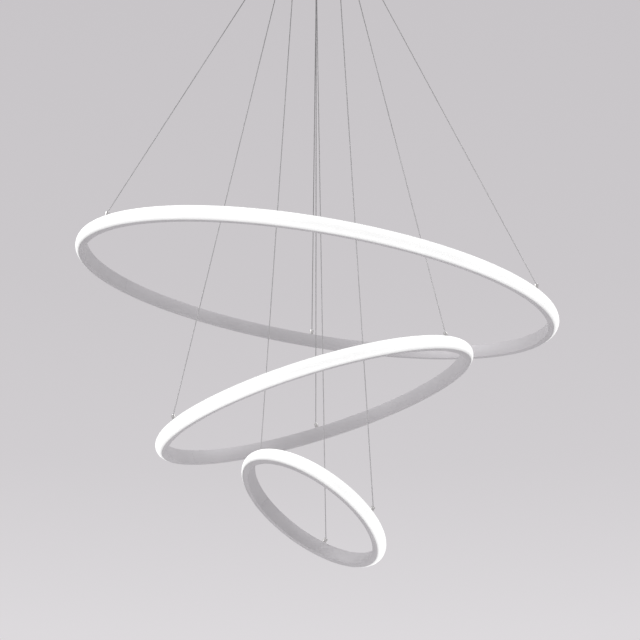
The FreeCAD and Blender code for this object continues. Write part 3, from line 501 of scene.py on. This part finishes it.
# Opal covers. A milky extrusion that bulges outwards and snaps into the channel with two legs,
# lit evenly from behind; its glow dies away over the last few millimetres towards its two edges.
COVER_WALL, LEG_LENGTH, LEG_WALL, LEG_FIT = 0.0015, 0.0025, 0.0012, 0.0001
OUTER_STEPS, INNER_STEPS, OPAL_FADE = 20, 10, 0.004
OPAL_GIRTH = (HALF_BAND ** 2 + BULGE ** 2) / BULGE * 2 * math.atan(BULGE / HALF_BAND)


def opal_glow():
    material, shader, where = new_material(
        "opal_glow", Metallic=0.0, Emission_Strength=0.52, Specular_IOR_Level=0.3)
    milk = clouds(where, 0.03, 2.0)
    # the second coordinate runs over the bulge from its lower edge to its upper edge
    along = where.node("ShaderNodeUVMap")
    over = along.node("ShaderNodeSeparateXYZ", output="Y", Vector=along)
    inwards = over.maths("MINIMUM", over, OPAL_GIRTH - over) * (1 / OPAL_FADE)
    light = inwards.node("ShaderNodeValToRGB", Fac=inwards, stops=[
        (0.0, (0.03, 0.03, 0.031)), (0.4, (0.6, 0.6, 0.6)), (1.0, (1.0, 1.0, 0.995))])
    feed(shader, Base_Color=blended(milk, (0.65, 0.65, 0.65), (0.69, 0.69, 0.69)),
         Emission_Color=light, Roughness=0.36 + 0.1 * milk)
    return material


def bulge(edge, half, rise, steps):
    """Points of the arc through (edge, -half), (edge + rise, 0) and (edge, half), in even turns."""
    curve = (half ** 2 + rise ** 2) / (2 * rise)
    angle = 2 * math.atan(rise / half) * np.linspace(-1, 1, steps + 1)
    return np.stack([edge + rise - curve * (1 - np.cos(angle)), curve * np.sin(angle)], axis=1)


leg_out = lip - LEG_FIT
leg_in = leg_out - LEG_WALL
opal = opal_glow()
for ring in RINGS:
    edge = RING_SIZE[ring] / 2 - BULGE
    outline = np.concatenate([
        bulge(edge, HALF_BAND, BULGE, OUTER_STEPS),
        [(edge, leg_out), (edge - LEG_LENGTH, leg_out), (edge - LEG_LENGTH, leg_in)],
        bulge(edge, leg_in, BULGE - COVER_WALL, INNER_STEPS)[::-1],
        [(edge - LEG_LENGTH, -leg_in), (edge - LEG_LENGTH, -leg_out), (edge, -leg_out)]])
    cover = piece(f"{ring}_opal_cover", [turned(outline, RING_ROUNDS, hung(ring))], opal)
    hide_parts(f"{ring}_diffuser")
    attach(cover, f"{ring}_ring")


# Light strips. A flexible board taped round the channel's web, white solder mask over copper,
# with a row of phosphor chips. The opal cover hides them.
def solder_mask():
    material, shader, where = new_material("solder_mask", Metallic=0.0, Specular_IOR_Level=0.5)
    copper = clouds(where, 0.004, 1.0)
    feed(shader, Base_Color=blended(copper, (0.8, 0.79, 0.75), (0.9, 0.9, 0.88)),
         Roughness=0.3 + 0.1 * copper, Normal=raised(copper, 0.3, 0.00005))
    return material


def phosphor():
    material, shader, where = new_material("phosphor", Metallic=0.0, Emission_Strength=0.9)
    grain = clouds(where, 0.0004, 2.0)
    feed(shader, Base_Color=blended(grain, (0.9, 0.8, 0.42), (0.95, 0.88, 0.55)),
         Emission_Color=blended(grain, (1.0, 0.94, 0.8), (1.0, 0.97, 0.88)),
         Roughness=0.5 + 0.2 * grain)
    return material


mask, glow = solder_mask(), phosphor()
for ring in RINGS:
    wear(f"{ring}_led_board", mask)
    wear(f"{ring}_led_chips", glow)


# Seam joints. Two square steel keys bridge each channel's seam and are pinched by four grub
# screws, whose ends show as small dark dots on the ring's inner face.
for ring in RINGS:
    wear(f"{ring}_joining_keys", zinc)
    wear(f"{ring}_key_screws", zinc)


# Hanger cups. A small turned cup on a stud stands on each ring over each wire and holds the
# wire's ball under its lip; a nut inside the channel pulls it down.
HANGER_INSET, STUD_RADIUS, STUD_REACH = 0.003, 0.001, 0.002
CUP_RADIUS, CUP_HEIGHT, CUP_LIP = 0.0024, 0.0065, 0.0005
CUP_MOUTH, CUP_HOLLOW, CUP_EASING, BOWL_POINTS = 0.0017, 0.0019, 0.00035, 7
cup_top = HALF_BAND + CUP_HEIGHT
cup_centre = cup_top - CUP_LIP
stud_end = lip - STUD_REACH


def hanger(ring, side):
    """A hanger's place on its hung ring, over the channel's web."""
    inner = RING_SIZE[ring] / 2 - BULGE - CHANNEL_DEPTH
    return hung(ring) @ spun(SIDES[side]) @ shifted(inner + HANGER_INSET, 0, 0)


shell = eased([
    (0, stud_end), (STUD_RADIUS, stud_end), (STUD_RADIUS, HALF_BAND), (CUP_RADIUS, HALF_BAND),
    (CUP_RADIUS, cup_top), (CUP_MOUTH, cup_top)], CUP_EASING, steps=2)
swing = np.linspace(0, math.pi / 2, BOWL_POINTS)
bowl = np.stack([CUP_HOLLOW * np.cos(swing), cup_centre - CUP_HOLLOW * np.sin(swing)], axis=1)
bowl[-1, 0] = 0
cup = np.concatenate([shell, bowl])
for ring in RINGS:
    cups = [turned(cup, rounds=32, place=hanger(ring, side)) for side in SIDES]
    cups = piece(f"{ring}_turned_cups", cups, nickel)
    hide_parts(f"{ring}_hanger_cups")
    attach(cups, f"{ring}_ring")
    wear(f"{ring}_hanger_nuts", zinc)


# Wires. Each ring hangs on three clear-coated steel wires of 1.2 mm. A wire comes down through
# its gripper, bends in the nose's mouth and runs straight to a ball that is swaged on its end.
def coated_strand():
    material, shader, where = new_material(
        "coated_strand", Metallic=0.5, Coat_Weight=0.2, Coat_Roughness=0.4)
    lay = clouds(where, 0.0015, 2.0, (1, 1, 0.4))
    length = clouds(where, 0.08, 2.0)
    # painted light: the strand is painted lighter towards the rings and darker towards the canopy,
    # standing in for the rings' glow on the wire
    painted_ring_glow = -1.0 * where.node("ShaderNodeSeparateXYZ", output="Z", Vector=where)
    lay_and_painted_glow = 0.25 * (lay + length) + 0.6 * painted_ring_glow
    feed(shader, Base_Color=blended(lay_and_painted_glow, (0.2, 0.196, 0.2), (0.47, 0.462, 0.47)),
         Roughness=0.5 + 0.15 * lay, Normal=raised(lay, 0.2, 0.00005))
    return material


WIRE_RADIUS, WIRE_TAIL, WIRE_LEAD, POINT_RADIUS = 0.0006, 0.007, 0.0072, 0.001
BALL_RADIUS, BALL_POINTS = 0.0017, 13
WIRE_BODY = {"left": "lift", "right": "sway", "far": "ring"}
strand = coated_strand()
for (ring, side), at in exits.items():
    corner = at + [0, 0, NOSE_BOTTOM]
    ball_at = (hanger(ring, side) @ [0, 0, cup_centre, 1])[:3]
    along_run = (ball_at - corner) / np.linalg.norm(ball_at - corner)
    route = [at + [0, 0, SHANK_TOP + WIRE_TAIL], corner + [0, 0, WIRE_LEAD], corner,
             corner + along_run * WIRE_LEAD, ball_at - along_run * BALL_RADIUS]
    curve = bpy.data.curves.new(f"strand_{ring}_{side}", "CURVE")
    curve.dimensions = "3D"
    curve.resolution_u = 12
    # a point's radius also widens the box that is measured round a curve, so it is kept small
    curve.bevel_depth = WIRE_RADIUS / POINT_RADIUS
    curve.bevel_resolution = 2
    curve.use_fill_caps = True
    line = curve.splines.new("NURBS")
    line.points.add(len(route) - 1)
    weighted = np.append(np.array(route), np.ones((len(route), 1)), axis=1)
    line.points.foreach_set("co", weighted.ravel())
    line.points.foreach_set("radius", [POINT_RADIUS] * len(route))
    line.order_u = 3
    line.use_endpoint_u = True
    curve.materials.append(strand)
    wire = bpy.data.objects.new(f"strand_{ring}_{side}", curve)
    bpy.context.scene.collection.objects.link(wire)
    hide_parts(f"wire_{ring}_{side}")
    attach(wire, "ceiling_fixing")
    # the ball's end of the wire goes with the ball, and the rest stays straight between
    grip = wire.modifiers.new("ball_end", "HOOK")
    grip.object = bodies[f"{ring}_{WIRE_BODY[side]}"]
    grip.vertex_indices_set([len(route) - 1])
    grip.matrix_inverse = grip.object.matrix_world.inverted() @ wire.matrix_world
    length = sum(np.linalg.norm(b - a) for a, b in zip(route, route[1:]))

    angle = np.linspace(-math.pi / 2, math.pi / 2, BALL_POINTS)
    arc = BALL_RADIUS * np.stack([np.cos(angle), np.sin(angle)], axis=1)
    arc[[0, -1], 0] = 0
    swaged = turned(arc, rounds=24, place=shifted(*ball_at))
    ball = piece(f"swaged_ball_{ring}_{side}", [swaged], steel)
    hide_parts(f"{ring}_ball_{side}")
    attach(ball, f"{ring}_{WIRE_BODY[side]}")


# The room. A pale floor far below, even light from the sky, a soft lamp high on each side and a
# faint one under the rings. The backdrop, a light grey that deepens a little with height, and the
# floor's palest tone show only to the eye and in reflections; they send matt surfaces no light.
SEEING_RAYS = ("Is Camera Ray", "Is Glossy Ray", "Is Transmission Ray")
MIXED_COLOUR = 2  # the place of the colour among a Mix node's outputs
room = bpy.data.worlds.new("studio")
room.use_nodes = True
bpy.context.scene.world = room
sky = Tone(room.node_tree, room.node_tree.nodes["Background"].outputs[0])
seen = sum(sky.node("ShaderNodeLightPath", output=ray) for ray in SEEING_RAYS)
direction = sky.node("ShaderNodeTexCoord", output="Generated")
height = sky.node("ShaderNodeSeparateXYZ", output="Z", Vector=direction)
backdrop = height.node("ShaderNodeValToRGB", Fac=height, stops=[
    (0.24, (0.72, 0.7, 0.72)), (0.33, (0.635, 0.615, 0.635)),
    (0.42, (0.6, 0.58, 0.6)), (0.58, (0.575, 0.555, 0.575))])
lighting = seen.node("ShaderNodeMix", output=MIXED_COLOUR, settings={"data_type": "RGBA"},
                     Factor_Float=seen, A_Color=(0.62, 0.62, 0.62, 1), B_Color=backdrop)
room.node_tree.links.new(lighting.socket, room.node_tree.nodes["Background"].inputs["Color"])


def pale_floor():
    material, shader, where = new_material("pale_floor", Roughness=0.8, Specular_IOR_Level=0.2)
    lit = blended(clouds(where, 1.5), (0.66, 0.65, 0.66), (0.69, 0.68, 0.69))
    looked_at = sum(where.node("ShaderNodeLightPath", output=ray) for ray in SEEING_RAYS)
    tone = where.node("ShaderNodeMix", output=MIXED_COLOUR, settings={"data_type": "RGBA"},
                      Factor_Float=looked_at, A_Color=lit, B_Color=(0.94, 0.92, 0.94, 1))
    feed(shader, Base_Color=tone)
    return material


FLOOR_LEVEL, FLOOR_REACH = -2.5, 30
ground_mesh = bpy.data.meshes.new("floor")
ground_mesh.from_pydata([(x * FLOOR_REACH, y * FLOOR_REACH, FLOOR_LEVEL)
                         for x, y in ((-1, -1), (1, -1), (1, 1), (-1, 1))], [], [(0, 1, 2, 3)])
ground_mesh.materials.append(pale_floor())
ground = bpy.data.objects.new("floor", ground_mesh)
bpy.context.scene.collection.objects.link(ground)

# name, place, side and watts of each lamp
LAMPS = (("key", (-1.8, -0.6, 0.8), 1.6, 36),
         ("fill", (1.7, -0.6, 1.4), 1.6, 34),
         ("bounce", (0.0, 0.0, -2.35), 2.4, 13))
MIDDLE = np.array([0, 0, -0.5])
for name, spot, size, power in LAMPS:
    lamp = bpy.data.lights.new(name, "AREA")
    lamp.size, lamp.energy = size, power
    shown = bpy.data.objects.new(name, lamp)
    shown.location = spot
    shown.visible_camera = False
    aim = MIDDLE - spot
    shown.rotation_euler = (math.pi / 2 + math.atan2(aim[2], np.hypot(aim[0], aim[1])), 0,
                            math.atan2(-aim[0], aim[1]))
    bpy.context.scene.collection.objects.link(shown)


# Camera. It stands low in front of the rings and looks up at them, as the photograph does; its
# place, its turn and its lens were fitted to the rings' edges.
EYE, LOOK_UP, LOOK_ASIDE = (-0.012, -2.0215, -1.4727), 0.417, -0.0083
SENSOR, LENS = 36, 101.15
view = bpy.data.cameras.new("camera")
view.sensor_width = SENSOR
view.lens = LENS
camera = bpy.data.objects.new("camera", view)
camera.location = EYE
camera.rotation_euler = (math.pi / 2 + LOOK_UP, 0, LOOK_ASIDE)
bpy.context.scene.collection.objects.link(camera)
bpy.context.scene.camera = camera
bpy.context.scene.view_settings.view_transform = "Standard"
